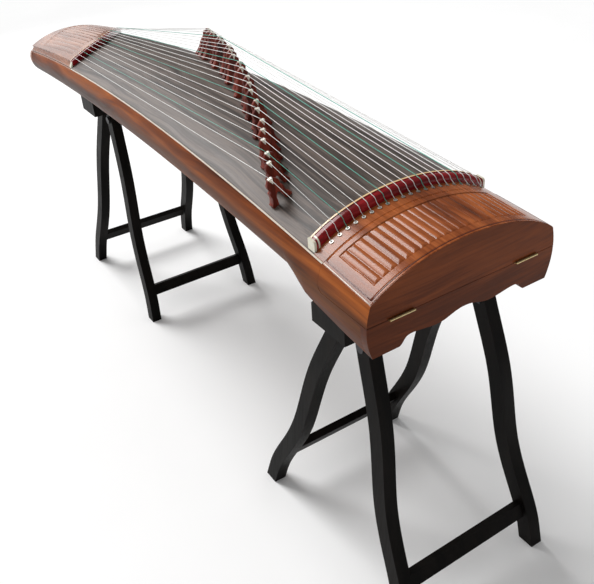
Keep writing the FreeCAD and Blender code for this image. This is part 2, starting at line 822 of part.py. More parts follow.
def round_the_nut(y, lift):
    """Points that carry a string over the nut's rounded back."""
    radius = NUT_ROUND + lift + 0.4
    middle_x = nut_back - NUT_ROUND
    middle_z = arch(nut_back, y) + size("head_nut_rise") - NUT_ROUND
    return [Vector(middle_x + radius * math.sin(math.radians(turn)), y,
                   middle_z + radius * math.cos(math.radians(turn))) for turn in (0, 30, 60)]


strings = []
for number in range(1, STRINGS + 1):
    y = string_y(number)
    base, _, upwards = (Vector(*v) for v in bridge_frame(number))
    lift = size("string_radius") + 0.35
    on_bridge = base + upwards * (bridge_height(number) + lift + BRIDGE_CLEARANCE)
    tail_y = size("tail_pitch") * (number - (STRINGS + 1) / 2)
    tail_x = tail_nut_x(tail_y) - nut_width - 1.5
    on_tail = Vector(tail_x, tail_y, tail_saddle_top(tail_x, tail_y) + lift)
    head_x = saddle_front + size("saddle_width") / 2
    on_saddle = Vector(head_x, y, saddle_top(head_x, y) + lift)
    into_hole = eyelet_centre(y) + eyelet_upright(y) * 1.2
    under_hole = eyelet_centre(y) - eyelet_upright(y) * 14
    pin_spot = tuner_place(number)
    at_pin = Vector(pin_spot.x - size("tuner_radius") - lift - 0.1, pin_spot.y, pin_spot.z + 12)
    route = [on_tail, on_bridge, on_saddle] + round_the_nut(y, lift) + [into_hole, under_hole, at_pin]
    strings.append(tube_along(route, size("string_radius")))
shaped("strings", Part.makeCompound(strings))


# The stands. Each has a left frame with the rail that carries the body, and a right frame
# that folds about two bolts under the rail. A leg is an S: it swells outwards below the rail,
# steepens, and kicks out again at its foot.

LEG_CURVE = [(0.0, 211.0), (0.10, 195.0), (0.24, 157.0), (0.38, 123.0), (0.50, 106.0),
             (0.64, 86.0), (0.80, 50.0), (0.90, 27.0)]


def leg_line(way, stand):
    """Centre line of a leg in the stand's X-Z plane; way is -1 for left and 1 for right."""
    top = size(f"{stand}_stand_top")
    lean = size(f"{stand}_leg_lean")
    points = [Vector(lean * share * top + way * run, 0, share * top)
              for share, run in LEG_CURVE]
    below = points[0] + (points[0] - points[1]) * 0.4
    return [below] + points


def leg_profile(way, stand, end_level):
    """The band of a leg's width along its centre line, up to a level under the rail."""
    spline = Part.BSplineCurve()
    spline.interpolate(leg_line(way, stand))
    half = size("leg_width") / 2
    count = 2 * ARCH_POINTS
    sides = ([], [])
    for parameter in spread(spline.FirstParameter, spline.LastParameter, count):
        tangent = spline.tangent(parameter)[0]
        across = Vector(tangent.z, 0, -tangent.x)
        sides[0].append(spline.value(parameter) - across * half)
        sides[1].append(spline.value(parameter) + across * half)
    ends = Part.makePolygon([sides[0][-1], sides[1][-1]]), Part.makePolygon([sides[1][0], sides[0][0]])
    band = Part.Face(Part.Wire([curve(sides[0]), ends[0].Edges[0], curve(sides[1][::-1]), ends[1].Edges[0]]))
    depth = size("leg_depth")
    leg = band.extrude(Vector(0, depth, 0)).translated(Vector(0, -depth / 2, 0))
    keep_box = Part.makeBox(900, 200, end_level + 200, Vector(-450, -100, -200))
    return leg.common(keep_box)


def leg_at(way, row, stand, end_level):
    """A leg of the front (row -1) or back (row 1), splayed outwards and cut level at the floor."""
    leg = leg_profile(way, stand, end_level)
    leg = leg.rotate(Vector(0, 0, 0), Vector(1, 0, 0), row * size("leg_splay_degrees"))
    leg = leg.translated(Vector(0, row * size("leg_line"), 0))
    floor = Part.makeBox(1000, 1000, 200, Vector(-500, -500, -200))
    return leg.cut(floor)


def leg_y(level):
    """Distance of a leg's centre from the stand's middle at a height."""
    return size("leg_line") - level * math.tan(math.radians(size("leg_splay_degrees")))


def leg_spot(way, stand, level):
    """Where a leg's centre line is at a height, and its slope there in degrees."""
    spline = Part.BSplineCurve()
    spline.interpolate(leg_line(way, stand))
    low, high = spline.FirstParameter, spline.LastParameter
    for _ in range(40):
        middle = (low + high) / 2
        if spline.value(middle).z < level:
            low = middle
        else:
            high = middle
    tangent = spline.tangent(low)[0]
    return spline.value(low).x, math.degrees(math.atan2(tangent.x, tangent.z))


def stretcher(name, way, stand, level):
    """The bar between a frame's two legs, let in to their inner faces and leaning with them."""
    x, slope = leg_spot(way, stand, level)
    half_span = leg_y(level) - size("leg_depth") / 2 - 1.2
    bar = doc.addObject("Part::Box", name)
    bar.setExpression("Length", "Dims.stretcher_thickness")
    bar.Width = 2 * half_span
    bar.setExpression("Height", "Dims.stretcher_height")
    turn = Rotation(Vector(0, 1, 0), slope)
    middle = Vector(size("stretcher_thickness") / 2, half_span, size("stretcher_height") / 2)
    bar.Placement = Placement(Vector(x, 0, level) - turn.multVec(middle), turn)
    return bar


def rail(name, stand):
    """The top rail: a beam with a domed top, padded along Y from a sketch of its end."""
    body = doc.addObject("PartDesign::Body", name)
    sketch = body.newObject("Sketcher::SketchObject", name + "_end")
    plane = [f for f in body.Origin.OriginFeatures if f.Role == "XZ_Plane"][0]
    sketch.AttachmentSupport = [(plane, "")]
    sketch.MapMode = "FlatFace"
    half = size("rail_half_width")
    middle = size(f"{stand}_rail_centre")
    shoulder = -size("rail_shoulder")
    drop = -size("rail_drop")
    left_low = Vector(middle - half, drop, 0)
    right_low = Vector(middle + half, drop, 0)
    right_top = Vector(middle + half, shoulder, 0)
    left_top = Vector(middle - half, shoulder, 0)
    for start, end in ((left_low, right_low), (right_low, right_top), (left_top, left_low)):
        sketch.addGeometry(Part.LineSegment(start, end), False)
    sketch.addGeometry(Part.Arc(right_top, Vector(middle, 0, 0), left_top), False)
    pad = body.newObject("PartDesign::Pad", name + "_length")
    pad.Profile = sketch
    pad.Midplane = True
    pad.setExpression("Length", "2 * Dims.rail_half_length")
    body.setExpression("Placement.Base.y", "Dims.rail_offset")
    body.setExpression("Placement.Base.z", f"Dims.{stand}_stand_top")
    return body


def local_feature(name, shape):
    node = doc.addObject("Part::Feature", name)
    node.Shape = shape
    return node


def group(label, members, stand):
    node = doc.addObject("Part::Compound", label)
    node.Links = members
    place(node, f"Dims.{stand}_stand_x", f"Dims.{stand}_stand_y")
    return keep(node, label)


def stand_frames(stand):
    top = size(f"{stand}_stand_top")
    rail_low = top - size("rail_drop")
    pivot_level = top - size("pivot_drop")
    pivot = Vector(leg_spot(1, stand, pivot_level)[0], 0, pivot_level)
    head_radius = size("leg_width") / 2
    left_members = [rail(f"{stand}_rail", stand),
                    stretcher(f"{stand}_left_stretcher", -1, stand, size("stretcher_level_left"))]
    right_members = [stretcher(f"{stand}_right_stretcher", 1, stand, size("stretcher_level_right"))]
    for row, row_name in ((-1, "front"), (1, "back")):
        left_leg = leg_at(-1, row, stand, rail_low - 0.1)
        left_members.append(local_feature(f"{stand}_left_{row_name}_leg", left_leg))
        # the right leg ends in a round eye about its bolt
        inner_y = row * leg_y(pivot.z)
        eye = Part.makeCylinder(head_radius, size("leg_depth"),
                                Vector(pivot.x, inner_y - size("leg_depth") / 2, pivot.z), Vector(0, 1, 0))
        right_leg = leg_at(1, row, stand, pivot.z).fuse(eye)
        bore = Part.makeCylinder(size("pivot_radius") + size("pivot_clearance"), 80,
                                 Vector(pivot.x, inner_y - 40, pivot.z), Vector(0, 1, 0))
        right_leg = right_leg.cut(bore)
        right_members.append(local_feature(f"{stand}_right_{row_name}_leg", right_leg))
        # a steel bracket on the rail's underside holds the bolt on the leg's inner side
        thick = size("bracket_thickness")
        bracket_y = inner_y - row * (size("leg_depth") / 2 + 3.2) - thick / 2
        rail_side = size(f"{stand}_rail_centre") + size("rail_half_width")
        bracket = Part.makeBox(pivot.x + 12 - (rail_side - 30), thick, rail_low - pivot.z + 12,
                               Vector(rail_side - 30, bracket_y, pivot.z - 12))
        hole = Part.makeCylinder(size("pivot_radius"), 80, Vector(pivot.x, inner_y - 40, pivot.z),
                                 Vector(0, 1, 0))
        left_members.append(local_feature(f"{stand}_{row_name}_bracket", bracket.cut(hole)))
        bolt_reach = size("leg_depth") / 2 + 3.2 + thick
        bolt = Part.makeCylinder(size("pivot_radius"), size("leg_depth") + 8 + thick,
                                 Vector(pivot.x, inner_y - row * bolt_reach, pivot.z), Vector(0, row, 0))
        bolt_head = Part.makeCylinder(size("pivot_radius") + 4, 3.5,
                                      Vector(pivot.x, inner_y + row * (size("leg_depth") / 2 + 1.2), pivot.z),
                                      Vector(0, row, 0))
        left_members.append(local_feature(f"{stand}_{row_name}_bolt", bolt.fuse(bolt_head)))
    group(f"{stand}_stand_left_frame", left_members, stand)
    group(f"{stand}_stand_right_frame", right_members, stand)


for stand in ("tail", "head"):
    stand_frames(stand)


# Check everything, then write one file for each sub-part.

doc.recompute()
for item in doc.Objects:
    if "Invalid" in item.State or "Error" in item.State:
        raise RuntimeError(f"{item.Label} did not compute")
os.makedirs("parts", exist_ok=True)
for node in NODES:
    if node.Shape.isNull() or not node.Shape.isValid():
        raise RuntimeError(f"{node.Label} has no valid shape")
    node.Shape.exportStep(f"parts/{node.Label}.step")
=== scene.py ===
import json
import math

import bmesh
import bpy
from mathutils import Matrix, Vector
from mathutils.bvhtree import BVHTree


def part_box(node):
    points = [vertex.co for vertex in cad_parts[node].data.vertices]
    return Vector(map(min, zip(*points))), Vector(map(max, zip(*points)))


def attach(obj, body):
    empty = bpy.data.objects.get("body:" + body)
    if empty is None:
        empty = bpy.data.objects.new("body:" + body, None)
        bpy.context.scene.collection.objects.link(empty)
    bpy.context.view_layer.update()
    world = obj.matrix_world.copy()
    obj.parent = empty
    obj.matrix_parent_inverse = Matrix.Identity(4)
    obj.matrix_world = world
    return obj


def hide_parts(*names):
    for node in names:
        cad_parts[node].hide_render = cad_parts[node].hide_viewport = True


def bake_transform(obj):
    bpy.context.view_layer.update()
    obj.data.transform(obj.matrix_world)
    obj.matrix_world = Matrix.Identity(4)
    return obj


# The looks of a 21-string guzheng on two folding stands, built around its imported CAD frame.
# Everything is in metres in the row frame: +X to the head, +Y away from the player, +Z up.

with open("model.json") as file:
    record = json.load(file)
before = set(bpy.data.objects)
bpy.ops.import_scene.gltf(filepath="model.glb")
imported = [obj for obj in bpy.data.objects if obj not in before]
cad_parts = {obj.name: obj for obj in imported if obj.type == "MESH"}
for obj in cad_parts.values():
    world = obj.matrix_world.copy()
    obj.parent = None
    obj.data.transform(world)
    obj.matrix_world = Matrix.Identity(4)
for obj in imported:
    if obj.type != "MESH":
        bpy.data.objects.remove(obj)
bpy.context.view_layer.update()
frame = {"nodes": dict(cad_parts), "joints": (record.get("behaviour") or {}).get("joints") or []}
scene = bpy.context.scene
scene.view_settings.view_transform = "Standard"


# The camera, at the photograph's viewing angle.

camera_data = bpy.data.cameras.new("camera")
camera_data.sensor_width = 36.0
camera_data.lens = 45.957
camera_data.shift_x = 0.0021
camera_data.shift_y = 0.0021
camera_data.clip_start = 0.05
camera = bpy.data.objects.new("camera", camera_data)
scene.collection.objects.link(camera)
scene.camera = camera
right = Vector((0.5422, 0.8382, -0.0599)).normalized()
look = Vector((-0.7183, 0.4253, -0.5507)).normalized()
up = right.cross(look).normalized()
right = look.cross(up).normalized()
turn = Matrix((right, up, -look)).transposed()
camera.matrix_world = Matrix.Translation((1.4151, -0.6734, 1.2041)) @ turn.to_4x4()


# The body's shape: the curves that its CAD parts follow.

STRINGS = 21
HALF = 0.815
MID_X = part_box("head_end_panel")[1].x - HALF
MID_Y = (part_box("side_panels")[0].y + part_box("side_panels")[1].y) / 2
EDGE_MIDDLE, EDGE_TILT, EDGE_BOW = 0.6908, 0.0088, 0.0476
STRIP_START = 0.681
LID_START = 0.705
HEAD_HALF_WIDTH = 0.1676
TAIL_HALF_WIDTH = 0.129
ARCH_RISE_TAIL, ARCH_RISE_GAIN = 0.028, 0.0185
ARCH_FULLNESS = 0.8
STRING_PITCH = 0.0141
STRING_CENTRE = 0.003
TAIL_PITCH = 0.0122
PANEL_RECESS = 0.0022
PANEL_THICKNESS = PANEL_RECESS - 0.0001
TAIL_RISE_CROWN, TAIL_RISE_CORNER, TAIL_RISE_NUT_END = 0.0155, 0.0080, 0.0120
TAIL_NUT_NEAR, TAIL_NUT_FAR = -0.416, -0.765
TAIL_NUT_WIDTH = 0.011
NUT_BACK = STRIP_START - 0.0005
NUT_WIDTH = 0.0135
NUT_FRONT = NUT_BACK - NUT_WIDTH
NUT_RISE = 0.012
NUT_ROUND = 0.008
NUT_INSET = 0.007
SADDLE_WIDTH = 0.003
SADDLE_RISE = 0.001
HOLE_LINE = 0.689
EYELET_RADIUS = 0.0032
EYELET_BORE = 0.0026
EYELET_PROUD = 0.0003


def share_along(x):
    return (x + HALF) / (2 * HALF)


def edge_line(x):
    """Height of the sides' top edge."""
    t = x / HALF
    return EDGE_MIDDLE + EDGE_TILT * t - EDGE_BOW * t * t


def half_width(x):
    return TAIL_HALF_WIDTH + (HEAD_HALF_WIDTH - TAIL_HALF_WIDTH) * share_along(x)


def arch(x, y):
    """Height of the soundboard, with x and y measured from the body's middle."""
    rise = ARCH_RISE_TAIL + ARCH_RISE_GAIN * share_along(x)
    flat_end = math.sqrt(1 - ARCH_FULLNESS ** 2)
    reach = min(1.0, abs(y) / half_width(x)) * ARCH_FULLNESS
    return edge_line(x) + rise * (math.sqrt(1 - reach ** 2) - flat_end) / (1 - flat_end)


def arch_slope(x, y):
    step = 0.0005
    return (arch(x, y + step) - arch(x, y - step)) / (2 * step)


def tail_nut_x(y):
    share = (y / TAIL_HALF_WIDTH + 1) / 2
    return TAIL_NUT_NEAR + (TAIL_NUT_FAR - TAIL_NUT_NEAR) * share * share


def tail_height(x, y):
    """Height of the tail panel's crowned top."""
    share = min(1.0, (x + HALF) / (TAIL_NUT_NEAR + HALF))
    side_rise = TAIL_RISE_CORNER + (TAIL_RISE_NUT_END - TAIL_RISE_CORNER) * share
    reach = min(1.0, abs(y) / half_width(x)) ** 2
    return arch(x, y) + TAIL_RISE_CROWN + (side_rise - TAIL_RISE_CROWN) * reach


def string_y(number):
    return STRING_CENTRE + STRING_PITCH * (number - (STRINGS + 1) / 2)


def body_point(x, y, z):
    """A point given from the body's middle, in the row frame."""
    return Vector((x + MID_X, y + MID_Y, z))


def spread(first, last, count):
    return [first + (last - first) * i / (count - 1) for i in range(count)]


# Materials.

BUMP_STRENGTH = 0.4


class Nodes:
    """A short way to lay out a material's nodes."""

    def __init__(self, name):
        self.material = bpy.data.materials.new(name)
        self.material.use_nodes = True
        self.tree = self.material.node_tree
        self.shader = self.tree.nodes["Principled BSDF"]
        self.coordinates = self.tree.nodes.new("ShaderNodeTexCoord").outputs["Object"]

    def add(self, kind, inputs=None, **settings):
        node = self.tree.nodes.new(kind)
        for key, value in settings.items():
            setattr(node, key, value)
        for key, value in (inputs or {}).items():
            if isinstance(value, bpy.types.NodeSocket):
                self.tree.links.new(value, node.inputs[key])
            else:
                node.inputs[key].default_value = value
        return node

    def noise(self, stretch, detail=4.0, rough=0.55, offset=(0, 0, 0), source=None):
        mapping = self.add("ShaderNodeMapping", {"Vector": source or self.coordinates,
                                                 "Location": offset, "Scale": stretch})
        return self.add("ShaderNodeTexNoise", {"Vector": mapping.outputs[0], "Scale": 1.0,
                                               "Detail": detail, "Roughness": rough}).outputs["Fac"]

    def math(self, operation, a, b=0.0):
        return self.add("ShaderNodeMath", {0: a, 1: b}, operation=operation).outputs[0]

    def ramp(self, value, stops):
        node = self.add("ShaderNodeValToRGB", {"Fac": value})
        elements = node.color_ramp.elements
        while len(elements) < len(stops):
            elements.new(0.5)
        for element, (place, colour) in zip(elements, stops):
            element.position = place
            element.color = (*colour, 1.0)
        return node.outputs["Color"]

    def mix(self, share, a, b, blend="MIX"):
        node = self.add("ShaderNodeMix", {0: share, 6: a, 7: b}, data_type="RGBA", blend_type=blend)
        return node.outputs[2]

    def range(self, value, low, high, to_low, to_high):
        limits = {0: value, 1: low, 2: high, 3: to_low, 4: to_high}
        return self.add("ShaderNodeMapRange", limits).outputs[0]

    def over_noise(self, noise, to_low, to_high):
        """The span that a noise mostly keeps to, drawn out to a range of its own."""
        return self.range(noise, 0.3, 0.7, to_low, to_high)

    def finish(self, colour, rough, height=None, depth=0.0003, **constants):
        for socket, value in (("Base Color", colour), ("Roughness", rough)):
            if isinstance(value, bpy.types.NodeSocket):
                self.tree.links.new(value, self.shader.inputs[socket])
            else:
                self.shader.inputs[socket].default_value = value
        for key, value in constants.items():
            self.shader.inputs[key.replace("_", " ")].default_value = value
        if height is not None:
            bump = self.add("ShaderNodeBump", {"Height": height, "Distance": depth,
                                               "Strength": BUMP_STRENGTH})
            self.tree.links.new(bump.outputs[0], self.shader.inputs["Normal"])
        return self.material


def stretch_along(axis, along, across):
    return tuple(along if i == axis else across for i in range(3))


def wood(name, light, middle, dark, axis=0, figure=16.0, grain=230.0, rough=(0.26, 0.4),
         coat=0.35, pores=0.35, shade=None, depth=0.00025, offset=0.0,
         specular=0.4):
    """Lacquered wood: a broad figure, fine grain lines and pores, drawn out along one axis."""
    n = Nodes(name)
    place = (offset, offset * 0.7, offset * 1.3)
    warp = n.noise((2.2, 2.2, 2.2), detail=2.0, offset=place)
    shift = n.math("MULTIPLY", n.math("SUBTRACT", warp, 0.5), 0.06)
    bent = n.add("ShaderNodeVectorMath", {0: n.coordinates, 1: shift}, operation="ADD").outputs[0]
    broad = n.noise(stretch_along(axis, 1.3, figure), detail=6.0, rough=0.6, offset=place, source=bent)
    fine = n.noise(stretch_along(axis, 5.0, grain), detail=3.0, offset=place, source=bent)
    pore = n.noise(stretch_along(axis, 34.0, grain * 3.2), detail=2.0, offset=place)
    colour = n.ramp(broad, [(0.30, dark), (0.47, middle), (0.56, light), (0.70, middle)])
    tone = n.ramp(fine, [(0.30, (0.62, 0.58, 0.56)), (0.62, (1.12, 1.10, 1.08))])
    colour = n.mix(0.75, colour, tone, "MULTIPLY")
    pits = n.ramp(pore, [(0.28, (0.45, 0.40, 0.38)), (0.40, (1.0, 1.0, 1.0))])
    colour = n.mix(pores, colour, pits, "MULTIPLY")
    # A shade function multiplies painted light and shade into the colour.
    if shade is not None:
        colour = n.mix(1.0, colour, shade(n), "MULTIPLY")
    height = n.math("ADD", n.math("MULTIPLY", fine, 0.5), n.math("MULTIPLY", pore, 0.5))
    return n.finish(colour, n.over_noise(fine, *rough), height, depth,
                    Coat_Weight=coat, Coat_Roughness=0.2, Specular_IOR_Level=specular)


def below_edge(n):
    """How far a point is below the sides' curved top edge, in metres."""
    parts = n.add("ShaderNodeSeparateXYZ", {0: n.coordinates})
    along = n.math("DIVIDE", n.math("SUBTRACT", parts.outputs[0], MID_X), HALF)
    bow = n.math("MULTIPLY", n.math("MULTIPLY", along, along), EDGE_BOW)
    line = n.math("SUBTRACT", n.math("ADD", n.math("MULTIPLY", along, EDGE_TILT), EDGE_MIDDLE), bow)
    return n.math("SUBTRACT", line, parts.outputs[2])


def side_painted_shade(n):
    """Painted shade on the sides: below a streak along their belly they darken to a bluish band,
    standing in for a dark reflection; just under the top edge they are lighter.
    """
    wobble = n.math("MULTIPLY", n.math("SUBTRACT", n.noise((3.0, 8.0, 14.0), detail=3.0), 0.5), 0.018)
    depth = n.math("DIVIDE", n.math("ADD", below_edge(n), wobble), 0.1)
    return n.ramp(depth, [(0.0, (1.25, 1.15, 1.0)), (0.20, (1.0, 0.95, 0.9)),
                          (0.36, (0.42, 0.42, 0.48)), (0.50, (0.40, 0.44, 0.52)),
                          (0.65, (0.55, 0.55, 0.60)), (1.0, (0.75, 0.68, 0.62))])


ROSEWOOD = dict(light=(0.31, 0.092, 0.020), middle=(0.19, 0.050, 0.011), dark=(0.070, 0.016, 0.004))
DARKER = dict(light=(0.155, 0.038, 0.009), middle=(0.092, 0.021, 0.005), dark=(0.034, 0.008, 0.003))
# The sides' rosewood carries a painted dark band of shade and reflection below their belly streak.
rosewood_side = wood("rosewood_side", **ROSEWOOD, coat=0.0, specular=0.07, rough=(0.36, 0.48),
                     pores=0.15, shade=side_painted_shade)
rosewood_top = wood("rosewood_top", light=(0.36, 0.100, 0.026), middle=(0.25, 0.062, 0.015),
                    dark=(0.085, 0.020, 0.007), figure=26.0, rough=(0.2, 0.3), coat=0.3, specular=0.2,
                    pores=0.12, offset=3.0)
rosewood_end = wood("rosewood_end", **DARKER, axis=1, figure=11.0, rough=(0.3, 0.42), coat=0.0,
                    specular=0.08, pores=0.12, offset=7.0)
rosewood_inside = wood("rosewood_inside", **DARKER, rough=(0.5, 0.65), coat=0.0, offset=11.0)
# The tail panel's wood is lighter and pinker than the rosewood: partly its own tone, partly a painted
# sheen standing in for its lacquer's reflection.
tail_wood_painted_sheen = wood("tail_wood_painted_sheen", light=(0.38, 0.17, 0.10), middle=(0.28, 0.108, 0.058),
                 dark=(0.18, 0.062, 0.032), figure=30.0, rough=(0.18, 0.26), coat=0.25, specular=0.15, pores=0.06, offset=5.0)
paulownia = wood("paulownia", light=(0.155, 0.123, 0.106), middle=(0.088, 0.069, 0.060),
                 dark=(0.030, 0.023, 0.020), figure=85.0, grain=380.0, rough=(0.38, 0.52), coat=0.03,
                 pores=0.6, depth=0.0004, offset=2.0, specular=0.22)
paulownia_bottom = wood("paulownia_bottom", light=(0.20, 0.12, 0.075), middle=(0.14, 0.078, 0.048),
                        dark=(0.08, 0.04, 0.025), figure=40.0, rough=(0.5, 0.62), coat=0.05, offset=9.0)
maple = wood("maple", light=(0.52, 0.33, 0.18), middle=(0.42, 0.25, 0.13), dark=(0.30, 0.16, 0.08),
             figure=30.0, rough=(0.45, 0.6), coat=0.0, offset=13.0)
bridge_wood = wood("bridge_wood", light=(0.25, 0.042, 0.024), middle=(0.15, 0.022, 0.013),
                   dark=(0.06, 0.010, 0.007), axis=2, figure=60.0, grain=600.0, rough=(0.3, 0.42),
                   coat=0.1, specular=0.15, offset=4.0)
nut_wood = wood("nut_wood", light=(0.30, 0.010, 0.014), middle=(0.19, 0.006, 0.009),
                dark=(0.08, 0.003, 0.005), axis=1, figure=50.0, grain=500.0, rough=(0.18, 0.26),
                coat=0.25, specular=0.2, pores=0.15, offset=6.0)
black_wood = wood("black_wood", light=(0.0065, 0.0052, 0.0044), middle=(0.0040, 0.0034, 0.0030),
                  dark=(0.002, 0.0018, 0.0016), axis=2, figure=20.0, grain=260.0, rough=(0.36, 0.5),
                  coat=0.0, offset=8.0, specular=0.05)
inlay_wood = wood("inlay_wood", light=(0.12, 0.018, 0.012), middle=(0.08, 0.012, 0.009),
                  dark=(0.04, 0.007, 0.006), figure=30.0, rough=(0.3, 0.4), offset=10.0)


def bone_material(name, colour, rough):
    n = Nodes(name)
    cloud = n.noise((90, 90, 90), detail=3.0)
    veins = n.noise((30, 420, 420), detail=2.0)
    tint = n.mix(n.range(cloud, 0.35, 0.65, 0.0, 0.6), (*colour, 1.0),
                 (colour[0] * 0.86, colour[1] * 0.80, colour[2] * 0.68, 1.0))
    return n.finish(tint, n.over_noise(veins, rough, rough + 0.12), veins, 0.0001,
                    Coat_Weight=0.3, Coat_Roughness=0.15, Subsurface_Weight=0.05)


bone = bone_material("bone", (0.80, 0.77, 0.68), 0.28)
saddle_bone = bone_material("saddle_bone", (0.78, 0.52, 0.28), 0.26)
ivory = bone_material("ivory", (0.74, 0.72, 0.60), 0.25)
edge_bone = bone_material("edge_bone", (0.78, 0.70, 0.62), 0.3)


def metal(name, colour, rough):
    """Metal with a fine satin haze."""
    n = Nodes(name)
    haze = n.noise((160, 160, 160), detail=4.0)
    scratch = n.noise((900, 60, 900), detail=2.0)
    tint = n.mix(n.over_noise(haze, 0.0, 0.5), (*colour, 1.0), (*[c * 0.8 for c in colour], 1.0))
    return n.finish(tint, n.over_noise(haze, rough, rough + 0.14), scratch, 0.0001, Metallic=1.0)


brass = metal("brass", (0.66, 0.52, 0.27), 0.3)
pin_steel = metal("pin_steel", (0.62, 0.62, 0.64), 0.22)
black_steel = metal("black_steel", (0.05, 0.05, 0.055), 0.4)
eyelet_metal = metal("eyelet_metal", (0.55, 0.56, 0.52), 0.4)


def string_material(name, colour):
    """Nylon-covered steel: a pale, slightly glossy wrap."""
    n = Nodes(name)
    wave = n.add("ShaderNodeTexWave", {"Vector": n.coordinates, "Scale": 260.0, "Distortion": 0.0},
                 bands_direction="X").outputs["Fac"]
    cloud = n.noise((40, 300, 300), detail=2.0)
    tint = n.mix(n.over_noise(cloud, 0.0, 0.5), (*colour, 1.0), (*[c * 0.82 for c in colour], 1.0))
    return n.finish(tint, n.range(wave, 0, 1, 0.28, 0.42), wave, 0.0001, Metallic=0.25)


string_white = string_material("string_white", (0.80, 0.80, 0.78))
string_green = string_material("string_green", (0.10, 0.42, 0.33))


# Finishes of the CAD parts that show as they are. A face's finish follows from where its middle
# lies, and these margins keep it clear of the limits.

MARGIN = 0.0002
FINE_MARGIN = 0.0001
RAIL_ABOVE_BOLT = 0.021
BRACKET_REACH = 0.040
BRACKET_DROP = 0.0131
LID_UNDERSIDE = 0.63


def set_materials(node, *materials):
    mesh = frame["nodes"][node].data
    mesh.materials.clear()
    for material in materials:
        mesh.materials.append(material)
    return mesh


def paint(node, choose, *materials):
    """Gives each face of a node the material whose number choose(x, y, z) returns for its middle."""
    mesh = set_materials(node, *materials)
    for polygon in mesh.polygons:
        middle = polygon.center
        polygon.material_index = choose(middle.x - MID_X, middle.y - MID_Y, middle.z)


def is_eyelet(x, y, z):
    nearest = min(abs(y - string_y(n)) for n in range(1, STRINGS + 1))
    distance = math.hypot(x - HOLE_LINE, nearest)
    proud = z > arch(x, y) + EYELET_PROUD
    return int(distance < EYELET_RADIUS + MARGIN and (proud or distance < EYELET_BORE))


def head_nut_part(x, y, z):
    if abs(y) > half_width(NUT_BACK) - NUT_INSET + FINE_MARGIN:
        return 2
    return int(x < NUT_FRONT - FINE_MARGIN)


def tail_nut_part(x, y, z):
    if abs(y) > half_width(x) - NUT_INSET + FINE_MARGIN:
        return 2
    return int(x < tail_nut_x(y) - TAIL_NUT_WIDTH - FINE_MARGIN)


def beside_panel(x, y, z):
    return int(x < (TAIL_NUT_NEAR if y < 0 else TAIL_NUT_FAR))


set_materials("side_panels", rosewood_side)
set_materials("bottom_board", paulownia_bottom)
set_materials("soundboard", paulownia)
set_materials("head_end_panel", rosewood_end)
set_materials("pin_block", maple)
set_materials("hinge_fixed_leaves", brass)
set_materials("hinge_moving_leaves", brass)
set_materials("tail_panel", tail_wood_painted_sheen)
for number in range(1, STRINGS + 1):
    set_materials(f"tuning_pin_{number:02d}", pin_steel)
paint("string_strip", is_eyelet, rosewood_top, eyelet_metal)
paint("head_nut", head_nut_part, nut_wood, saddle_bone, ivory)
paint("tail_nut", tail_nut_part, nut_wood, saddle_bone, ivory)
# The wooden strips beside the tail panel take its wood, painted sheen included.
paint("edge_bindings", beside_panel, edge_bone, tail_wood_painted_sheen)
for stand in ("tail", "head"):
    pivot = next(Vector(j["pos_m"]) for j in frame["joints"] if j["name"] == f"{stand}_stand_fold")
    rail_low = pivot.z + RAIL_ABOVE_BOLT

    def is_steel(x, y, z):
        beside_bolt = abs(x + MID_X - pivot.x) < BRACKET_REACH
        return int(beside_bolt and pivot.z - BRACKET_DROP < z < rail_low - MARGIN)

    paint(f"{stand}_stand_left_frame", is_steel, black_wood, black_steel)
    set_materials(f"{stand}_stand_right_frame", black_wood)

lid_mesh = set_materials("head_lid", rosewood_side, rosewood_end, rosewood_inside, rosewood_top)
lid_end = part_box("head_lid")[1].x
for polygon in lid_mesh.polygons:
    if polygon.normal.x > 0.7 and polygon.center.x > lid_end - 0.002:
        polygon.material_index = 1
    elif polygon.normal.z < -0.5 and polygon.center.z > LID_UNDERSIDE or abs(polygon.normal.x) > 0.7:
        polygon.material_index = 2
    elif polygon.normal.z > 0.6:
        polygon.material_index = 3


# Building meshes.

def make(name, points, faces, material, body, smooth=True, bevel=0.0, angle=35.0):
    mesh = bpy.data.meshes.new(name)
    mesh.from_pydata([tuple(p) for p in points], [], faces)
    bm = bmesh.new()
    bm.from_mesh(mesh)
    bmesh.ops.remove_doubles(bm, verts=bm.verts, dist=1e-7)
    bmesh.ops.recalc_face_normals(bm, faces=bm.faces)
    bm.to_mesh(mesh)
    bm.free()
    mesh.materials.append(material)
    piece = bpy.data.objects.new(name, mesh)
    scene.collection.objects.link(piece)
    if bevel:
        add_bevel(piece, bevel, angle)
    for polygon in mesh.polygons:
        polygon.use_smooth = smooth
    if body:
        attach(piece, body)
    return piece


def add_bevel(piece, width, angle=35.0):
    modifier = piece.modifiers.new("bevel", "BEVEL")
    modifier.width = width
    modifier.segments = 3
    modifier.limit_method = "ANGLE"
    modifier.angle_limit = math.radians(angle)


def grid_faces(rows, columns, closed=False, start=0):
    faces = []
    wrap = columns if closed else columns - 1
    for r in range(rows - 1):
        for c in range(wrap):
            d = (c + 1) % columns
            faces.append([start + r * columns + c, start + r * columns + d,
                          start + (r + 1) * columns + d, start + (r + 1) * columns + c])
    return faces


def prism_ends(count):
    """The ends of a solid between two copies of an outline with that many points."""
    return [list(range(count))[::-1], list(range(count, 2 * count))]


def prism_sides(count):
    """The faces round the same solid, between its ends."""
    return [[i, (i + 1) % count, count + (i + 1) % count, count + i] for i in range(count)]


